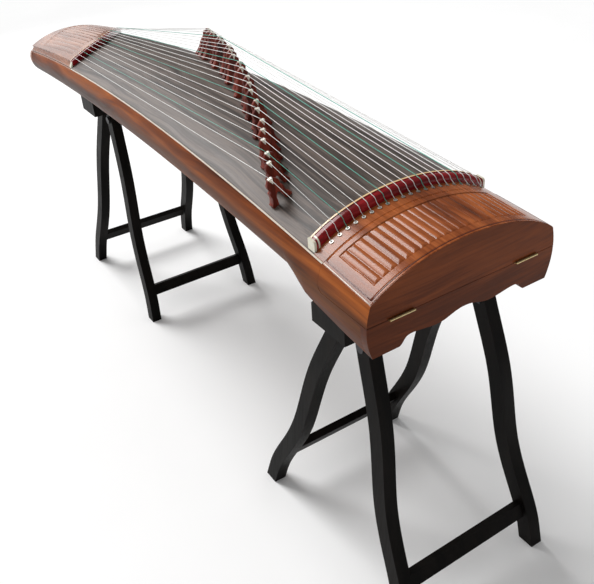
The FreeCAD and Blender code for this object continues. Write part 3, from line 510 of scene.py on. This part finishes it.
def slab(name, rows, material, body, thickness):
    """A solid sheet from a grid of top points, going straight down by a thickness."""
    count, width = len(rows), len(rows[0])
    top = [p for row in rows for p in row]
    bottom = [p - Vector((0, 0, thickness)) for p in top]
    size = len(top)
    faces = grid_faces(count, width) + [face[::-1] for face in grid_faces(count, width, start=size)]
    rim = ([(0, c) for c in range(width)] + [(r, width - 1) for r in range(1, count)]
           + [(count - 1, c) for c in range(width - 2, -1, -1)]
           + [(r, 0) for r in range(count - 2, 0, -1)])
    order = [r * width + c for r, c in rim]
    for i, a in enumerate(order):
        b = order[(i + 1) % len(order)]
        faces.append([a, b, b + size, a + size])
    return make(name, top + bottom, faces, material, body)


def heading(path, i):
    """The direction in which a path runs at one of its points."""
    return (path[min(i + 1, len(path) - 1)] - path[max(i - 1, 0)]).normalized()


def tube(name, path, radius, material, body, sides=8):
    """A round bar along a list of points, closed at both ends."""
    points = []
    side = heading(path, 0).orthogonal().normalized()
    for i, point in enumerate(path):
        ahead = heading(path, i)
        side = (side - ahead * side.dot(ahead)).normalized()
        across = ahead.cross(side)
        for k in range(sides):
            turn_by = 2 * math.pi * k / sides
            points.append(point + (side * math.cos(turn_by) + across * math.sin(turn_by)) * radius)
    faces = grid_faces(len(path), sides, closed=True)
    faces += [list(range(sides))[::-1], list(range(len(points) - sides, len(points)))]
    return make(name, points, faces, material, body)


def band(name, path, ups, width, height, material, body):
    """A flat strip with eased edges along a path; ups are the directions away from the surface."""
    points = []
    shape = [(-0.5, 0.0), (-0.5, 0.7), (-0.3, 1.0), (0.3, 1.0), (0.5, 0.7), (0.5, 0.0)]
    for i, point in enumerate(path):
        across = heading(path, i).cross(ups[i]).normalized()
        for a, b in shape:
            points.append(point + across * a * width + ups[i] * b * height)
    faces = grid_faces(len(path), len(shape), closed=True)
    faces += [list(range(len(shape)))[::-1], list(range(len(points) - len(shape), len(points)))]
    return make(name, points, faces, material, body)


# The lid's ribbed top, set into the CAD lid's rim.

RIB_TOP_Y = 0.128
RIB_LOW_Y = -0.146
RIB_COUNT = 21
RIB_START, RIB_END = 0.717, 0.797
RIB_PITCH = (RIB_TOP_Y - RIB_LOW_Y) / RIB_COUNT
RIB_SLOPE = 33.0
LID_GAP_FRONT, LID_GAP_END, LID_GAP_SIDE = 0.0009, 0.00405, 0.00505
LID_ROWS, LID_COLUMNS = 26, 340
STEP_OFFSETS = (0.0002, 0.0011, 0.0022, 0.0035, 0.005, 0.0066)


def rib_depth(across, end):
    """How far a round bar's surface is below its crest; across is the place in the pitch."""
    half = RIB_PITCH / 2
    off = abs(across - 0.5) * 2 * half
    if end < half:
        off = max(off, half - end)
    radius = half / math.sin(math.radians(RIB_SLOPE))
    return radius - math.sqrt(radius * radius - off * off)


def lid_top(x, y):
    inside = RIB_START < x < RIB_END and RIB_LOW_Y < y < RIB_TOP_Y
    if not inside:
        return arch(x, y)
    place = (y - RIB_LOW_Y) / (RIB_TOP_Y - RIB_LOW_Y) * RIB_COUNT
    return arch(x, y) - rib_depth(place % 1.0, min(x - RIB_START, RIB_END - x))


def with_steps(first, last, count, *steps):
    """Even places from first to last, with a close pair at each step and finer places beside it."""
    places = set(spread(first, last, count))
    for step in steps:
        for offset in (0.0, *STEP_OFFSETS, *(-away for away in STEP_OFFSETS)):
            if first < step + offset < last:
                places.add(step + offset)
    return sorted(places)


rows = []
for x in with_steps(LID_START + LID_GAP_FRONT, HALF - LID_GAP_END, LID_ROWS, RIB_START, RIB_END):
    reach = half_width(x) - LID_GAP_SIDE
    rows.append([body_point(x, reach * share, lid_top(x, reach * share))
                 for share in spread(-1, 1, LID_COLUMNS)])
slab("lid_ribbed_top", rows, rosewood_top, "lid", PANEL_THICKNESS)


def up_at(x, y):
    slope = arch_slope(x, y)
    return Vector((0, -slope, 1)).normalized()


def surface_path(x_of, y_of, count):
    """Points on the arched surface, with the directions away from it."""
    points, ups = [], []
    for i in range(count):
        t = i / (count - 1)
        x, y = x_of(t), y_of(t)
        points.append(body_point(x, y, arch(x, y)))
        ups.append(up_at(x, y))
    return points, ups


def lid_outline(inset, name, width, height, materials):
    """A line along the lid's near edge, its end arch and its far edge, each in its own material."""
    start, end = LID_START + 0.001, HALF - inset
    for way, side in ((-1, "near"), (1, "far")):
        points, ups = surface_path(lambda t: start + (end - start) * t,
                                   lambda t: way * (half_width(start + (end - start) * t) - inset), 12)
        band(f"{name}_{side}", points, ups, width, height, materials[side], "lid")
    reach = half_width(end) - inset
    points, ups = surface_path(lambda t: end, lambda t: -reach + 2 * reach * t, 60)
    band(f"{name}_end", points, ups, width, height, materials["end"], "lid")


# The binding is cream along the near edge only; along the far edge and the end arch, which lie in
# shade, it is painted in the top's rosewood, as painted shade on the cream binding.
lid_outline(0.0012, "lid_binding", 0.0011, 0.0004,
            {"near": edge_bone, "far": rosewood_top, "end": rosewood_top})
lid_outline(0.0052, "lid_inlay", 0.0012, 0.00025,
            dict.fromkeys(("near", "far", "end"), inlay_wood))


# The tail panel's ribbed top.

TAIL_RIBS = 10
TAIL_RIB_LOW, TAIL_RIB_HIGH = -0.114, 0.034
TAIL_GAP_END, TAIL_GAP_SIDE, TAIL_GAP_NUT = 0.0006, 0.0003, 0.0145
TAIL_COLUMNS, TAIL_ROW_POINTS = 280, 90
TAIL_REFERENCE_X = -0.6


def tail_rib_limits(y):
    """Where the ribs at a distance from the middle begin and end; both ends slant like the nut."""
    return max(-0.802, -0.709 - 0.78 * (y + 0.121)), tail_nut_x(y) - 0.042


def tail_top(x, y):
    base = tail_height(x, y)
    first, last = tail_rib_limits(y)
    if not (TAIL_RIB_LOW < y < TAIL_RIB_HIGH and first < x < last):
        return base
    place = (y - TAIL_RIB_LOW) / (TAIL_RIB_HIGH - TAIL_RIB_LOW) * TAIL_RIBS
    return base - rib_depth(place % 1.0, min(x - first, last - x))


rows = []
reference = half_width(TAIL_REFERENCE_X) - NUT_INSET - TAIL_GAP_SIDE
first = -HALF + TAIL_GAP_END
for share in spread(-1, 1, TAIL_COLUMNS):
    row = []
    last = tail_nut_x(share * reference) - TAIL_GAP_NUT
    for t in spread(0, 1, TAIL_ROW_POINTS):
        x = first + (last - first) * t
        p = body_point(x, share * (half_width(x) - NUT_INSET - TAIL_GAP_SIDE), 0)
        row.append(Vector((p.x, p.y, tail_top(p.x - MID_X, p.y - MID_Y))))
    rows.append(row)
slab("tail_ribbed_top", rows, tail_wood_painted_sheen, "instrument", PANEL_THICKNESS)


# The head nut's end caps, each a disc with a ring.

RING_DEPTH = 0.004
RING_INSET, RING_WIDTH, RING_GROWTH = 0.0035, 0.0022, 0.0005


def nut_ring(name, way, inset, width, grow):
    """A thin ring of the nut's outline, let in near its end."""
    outline = [(-0.0002, -RING_DEPTH), (-0.0002, NUT_RISE + grow)]
    for turn_by in range(0, 91, 10):
        angle = math.radians(turn_by)
        outline.append((NUT_WIDTH - NUT_ROUND + (NUT_ROUND + grow) * math.sin(angle),
                        NUT_RISE - NUT_ROUND + (NUT_ROUND + grow) * math.cos(angle)))
    outline.append((NUT_WIDTH + grow, -RING_DEPTH))
    points = []
    for depth in (inset, inset + width):
        y = way * (half_width(NUT_BACK) - NUT_INSET - depth)
        points += [body_point(NUT_FRONT + back, y, arch(NUT_FRONT + back, y) + height)
                   for back, height in outline]
    faces = prism_sides(len(outline)) + prism_ends(len(outline))
    make(name, points, faces, ivory, "instrument", smooth=False, bevel=0.0002)


for way, side in ((-1, "near"), (1, "far")):
    nut_ring(f"head_nut_ring_{side}", way, RING_INSET, RING_WIDTH, RING_GROWTH)
add_bevel(frame["nodes"]["head_nut"], width=0.0012, angle=40)


# The bridges.

board_mesh = frame["nodes"]["soundboard"].data
board_tree = BVHTree.FromPolygons([v.co for v in board_mesh.vertices],
                                  [p.vertices for p in board_mesh.polygons])
BRIDGE_THICK = 0.011
BRIDGE_TOP_HALF = 0.0024
FOOT_ZONE, FOOT_LIFT = 0.002, 0.0004
BONE_PROUD = 0.0003


def bridge_frame(number):
    """A bridge's foot, its side and up directions and its height, measured from its CAD node."""
    corners = [v.co for v in frame["nodes"][f"bridge_{number:02d}"].data.vertices]
    low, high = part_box(f"bridge_{number:02d}")
    middle_x = (low.x + high.x) / 2
    upwards = Vector((0, 0, 1))
    for _ in range(4):
        top = max(c.dot(upwards) for c in corners)
        highest = [c for c in corners if c.dot(upwards) > top - 0.0003]
        tip = sum(highest, Vector()) / len(highest)
        tip.x = middle_x
        foot = board_tree.find_nearest(tip)[0]
        upwards = Vector((0, tip.y - foot.y, tip.z - foot.z)).normalized()
    foot.x = middle_x
    return foot, Vector((0, upwards.z, -upwards.y)), upwards, (tip - foot).length


def smooth_line(points, steps=4):
    """A soft curve through points given as pairs."""
    result = []
    for i in range(len(points) - 1):
        p0 = points[max(i - 1, 0)]
        p1, p2 = points[i], points[i + 1]
        p3 = points[min(i + 2, len(points) - 1)]
        for k in range(steps):
            t = k / steps
            result.append(tuple(0.5 * (2 * b + (c - a) * t + (2 * a - 5 * b + 4 * c - d) * t * t
                                       + (3 * b - a - 3 * c + d) * t ** 3)
                                for a, b, c, d in zip(p0, p1, p2, p3)))
    return result + [points[-1]]


def bridge_outline(tall):
    """The outline of a bridge's body, across from its middle and up from its foot."""
    outer = smooth_line([(0.0046, tall - 0.0005), (0.0110, tall - 0.0085), (0.0098, tall - 0.018),
                         (0.0128, 0.52 * tall), (0.0130, 0.32 * tall), (0.0168, 0.12 * tall),
                         (0.0190, 0.0035), (0.0186, 0.0)])
    inner = smooth_line([(0.0078, 0.0), (0.0066, 0.10 * tall), (0.0056, 0.26 * tall),
                         (0.0030, 0.39 * tall), (0.0, 0.44 * tall)])
    far_side = [(0.0, tall - 0.0005)] + outer + [(0.0132, -0.0002)] + inner
    return far_side + [(-across, height) for across, height in far_side[1:-1]][::-1]


def bone_outline(tall):
    """The bone insert is a wedge, pointed below, with a notch for the string."""
    return [(-0.0034, tall + 0.0005), (-0.0006, tall + 0.0005), (0.0, tall - 0.0002),
            (0.0006, tall + 0.0005), (0.0034, tall + 0.0005), (0.0036, tall - 0.001),
            (0.0, tall - 0.0095), (-0.0036, tall - 0.001)]


def half_thickness(height, tall):
    """Half of a bridge's thickness, which shrinks from a quarter of its height up to its tip."""
    share = max(0.0, (height / tall - 0.25) / 0.75)
    return BRIDGE_THICK / 2 * (1 - share) + BRIDGE_TOP_HALF * share


bridge_tips = {}
for number in range(1, STRINGS + 1):
    foot, sideways, upwards, tall = bridge_frame(number)
    bridge_tips[number] = foot + upwards * tall
    name = f"bridge_{number:02d}"
    outline = bridge_outline(tall)
    points = []
    for face in (-1, 1):
        for across, height in outline:
            point = foot + sideways * across + upwards * height
            if height < FOOT_ZONE:
                hit = board_tree.find_nearest(point)[0]
                point = Vector((foot.x, hit.y, hit.z)) + upwards * (FOOT_LIFT + max(0.0, height))
            points.append(point + Vector((face * half_thickness(height, tall), 0, 0)))
    faces = prism_ends(len(outline)) + prism_sides(len(outline))
    piece = make(f"bridge_{number:02d}_body", points, faces, bridge_wood, name,
                 smooth=False, bevel=0.0007, angle=30)
    for polygon in piece.data.polygons:
        polygon.use_smooth = len(polygon.vertices) == 4
    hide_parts(name)
    wedge = bone_outline(tall)
    points = []
    for face in (-1, 1):
        for across, height in wedge:
            depth = half_thickness(height, tall) + BONE_PROUD
            points.append(foot + sideways * across + upwards * height + Vector((face * depth, 0, 0)))
    faces = prism_ends(len(wedge)) + prism_sides(len(wedge))
    make(f"bridge_{number:02d}_bone", points, faces, bone, name, smooth=False, bevel=0.0001)


# The strings: one piece from the tail to the bridge and one from the bridge to the pin.

GREEN_STRINGS = (3, 8, 13, 18)
THINNEST, THICKER_BY = 0.00042, 0.0003
ABOVE_HOLE, BELOW_HOLE = 0.0012, 0.014
WRAP_REACH, WRAP_HEIGHT = 0.0032, 0.012
WINDING_REACH, WINDING_PITCH = 0.0031, 2.1
WINDING_TURNS, WINDING_STEPS = 5, 16


def string_radius(number):
    return THINNEST + THICKER_BY * (number - 1) / (STRINGS - 1)


def straight(a, b, count):
    return [a.lerp(b, i / count) for i in range(count)]


pins = {j["child"]: Vector(j["pos_m"]) for j in frame["joints"] if j["child"].startswith("tuning_pin")}
for number in range(1, STRINGS + 1):
    radius = string_radius(number)
    material = string_green if number in GREEN_STRINGS else string_white
    place_in_row = number - (STRINGS + 1) / 2
    y = string_y(number)
    on_bridge = bridge_tips[number] + Vector((0, 0, radius))
    tail_y = TAIL_PITCH * place_in_row
    tail_x = tail_nut_x(tail_y) - TAIL_NUT_WIDTH - SADDLE_WIDTH / 2
    on_tail = body_point(tail_x, tail_y, tail_height(tail_x, tail_y) + SADDLE_RISE + radius)
    into_tail = body_point(tail_x - 0.004, tail_y, tail_height(tail_x, tail_y) - 0.002)
    saddle_x = NUT_FRONT - SADDLE_WIDTH / 2
    on_saddle = body_point(saddle_x, y, arch(saddle_x, y) + NUT_RISE + SADDLE_RISE + radius)
    name = f"bridge_{number:02d}"
    path = [into_tail] + straight(on_tail, on_bridge, 40) + [on_bridge]
    piece = tube(f"string_{number:02d}_tail", path, radius, material, None, sides=8)
    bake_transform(piece)
    if number == 1:
        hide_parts("strings")
    over = []
    nut_middle = body_point(NUT_BACK - NUT_ROUND, y, arch(NUT_BACK, y) + NUT_RISE - NUT_ROUND)
    for turn_by in range(0, 76, 15):
        angle = math.radians(turn_by)
        over.append(nut_middle + Vector((math.sin(angle), 0, math.cos(angle))) * (NUT_ROUND + radius))
    hole = body_point(HOLE_LINE, y, arch(HOLE_LINE, y))
    upright = up_at(HOLE_LINE, y)
    pin = pins[f"tuning_pin_{number:02d}"]
    wrap = pin + Vector((-WRAP_REACH - radius, 0, WRAP_HEIGHT))
    path = straight(on_bridge, on_saddle, 16) + [on_saddle] + over
    path += [hole + upright * ABOVE_HOLE, hole - upright * BELOW_HOLE, wrap]
    piece = tube(f"string_{number:02d}_head", path, radius, material, None, sides=8)
    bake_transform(piece)
    coil = []
    for i in range(WINDING_TURNS * WINDING_STEPS + 1):
        angle = math.pi + 2 * math.pi * i / WINDING_STEPS
        around = Vector((math.cos(angle), math.sin(angle), 0)) * (WINDING_REACH + radius)
        drop = WINDING_PITCH * radius * i / WINDING_STEPS
        coil.append(pin + around + Vector((0, 0, WRAP_HEIGHT - drop)))
    tube(f"string_{number:02d}_winding", coil, radius, material, f"tuning_pin_{number:02d}",
         sides=6)


# The stands keep their CAD shape, with eased edges.

for stand in ("tail", "head"):
    for side in ("left", "right"):
        add_bevel(frame["nodes"][f"{stand}_stand_{side}_frame"], width=0.0016, angle=40)


# The floor and the light. The world looks white to the camera, and lights the object less
# brightly than that, glossy surfaces least of all.

FLOOR_REACH = 30.0
WORLD_SEEN, WORLD_LIGHT, GLOSSY_CUT = 1.0, 0.45, 0.31
SUN_POWER, SUN_SPREAD = 2.9, 34
SUN_DIRECTION = (0.68, 0.20, -0.70)


def stage_floor():
    mesh = bpy.data.meshes.new("floor")
    corners = [(x * FLOOR_REACH, y * FLOOR_REACH, 0) for x, y in ((-1, -1), (1, -1), (1, 1), (-1, 1))]
    mesh.from_pydata(corners, [], [(0, 1, 2, 3)])
    floor = bpy.data.objects.new("floor", mesh)
    scene.collection.objects.link(floor)
    n = Nodes("floor_paint")
    cloud = n.noise((2, 2, 2), detail=3.0)
    tone = n.mix(n.over_noise(cloud, 0.0, 1.0), (0.90, 0.90, 0.90, 1.0), (0.88, 0.88, 0.88, 1.0))
    mesh.materials.append(n.finish(tone, 0.9))


stage_floor()

world = bpy.data.worlds.new("studio")
scene.world = world
world.use_nodes = True
sky = world.node_tree
background = sky.nodes["Background"]
background.inputs["Color"].default_value = (1.0, 1.0, 1.0, 1.0)
light_path = sky.nodes.new("ShaderNodeLightPath")
level = sky.nodes.new("ShaderNodeMapRange")
level.inputs["To Min"].default_value = WORLD_LIGHT
level.inputs["To Max"].default_value = WORLD_SEEN
sky.links.new(light_path.outputs["Is Camera Ray"], level.inputs["Value"])
dimming = sky.nodes.new("ShaderNodeMapRange")
dimming.inputs["To Max"].default_value = GLOSSY_CUT
sky.links.new(light_path.outputs["Is Glossy Ray"], dimming.inputs["Value"])
strength = sky.nodes.new("ShaderNodeMath")
strength.operation = "SUBTRACT"
sky.links.new(level.outputs["Result"], strength.inputs[0])
sky.links.new(dimming.outputs["Result"], strength.inputs[1])
sky.links.new(strength.outputs[0], background.inputs["Strength"])


def softbox(name, place, aim, size, power):
    data = bpy.data.lights.new(name, "AREA")
    data.shape = "RECTANGLE"
    data.size, data.size_y = size
    data.energy = power
    light = bpy.data.objects.new(name, data)
    scene.collection.objects.link(light)
    light.location = place
    light.rotation_mode = "QUATERNION"
    light.rotation_quaternion = (Vector(aim) - Vector(place)).to_track_quat("-Z", "Y")
    light.visible_camera = False


softbox("softbox_behind_tail", (-3.1, -0.5, 1.9), (0.0, -0.1, 0.7), (2.6, 2.4), 27)
sun_data = bpy.data.lights.new("window_light", "SUN")
sun_data.energy = SUN_POWER
sun_data.angle = math.radians(SUN_SPREAD)
sun = bpy.data.objects.new("window_light", sun_data)
scene.collection.objects.link(sun)
sun.rotation_mode = "QUATERNION"
sun.rotation_quaternion = Vector(SUN_DIRECTION).to_track_quat("-Z", "Y")
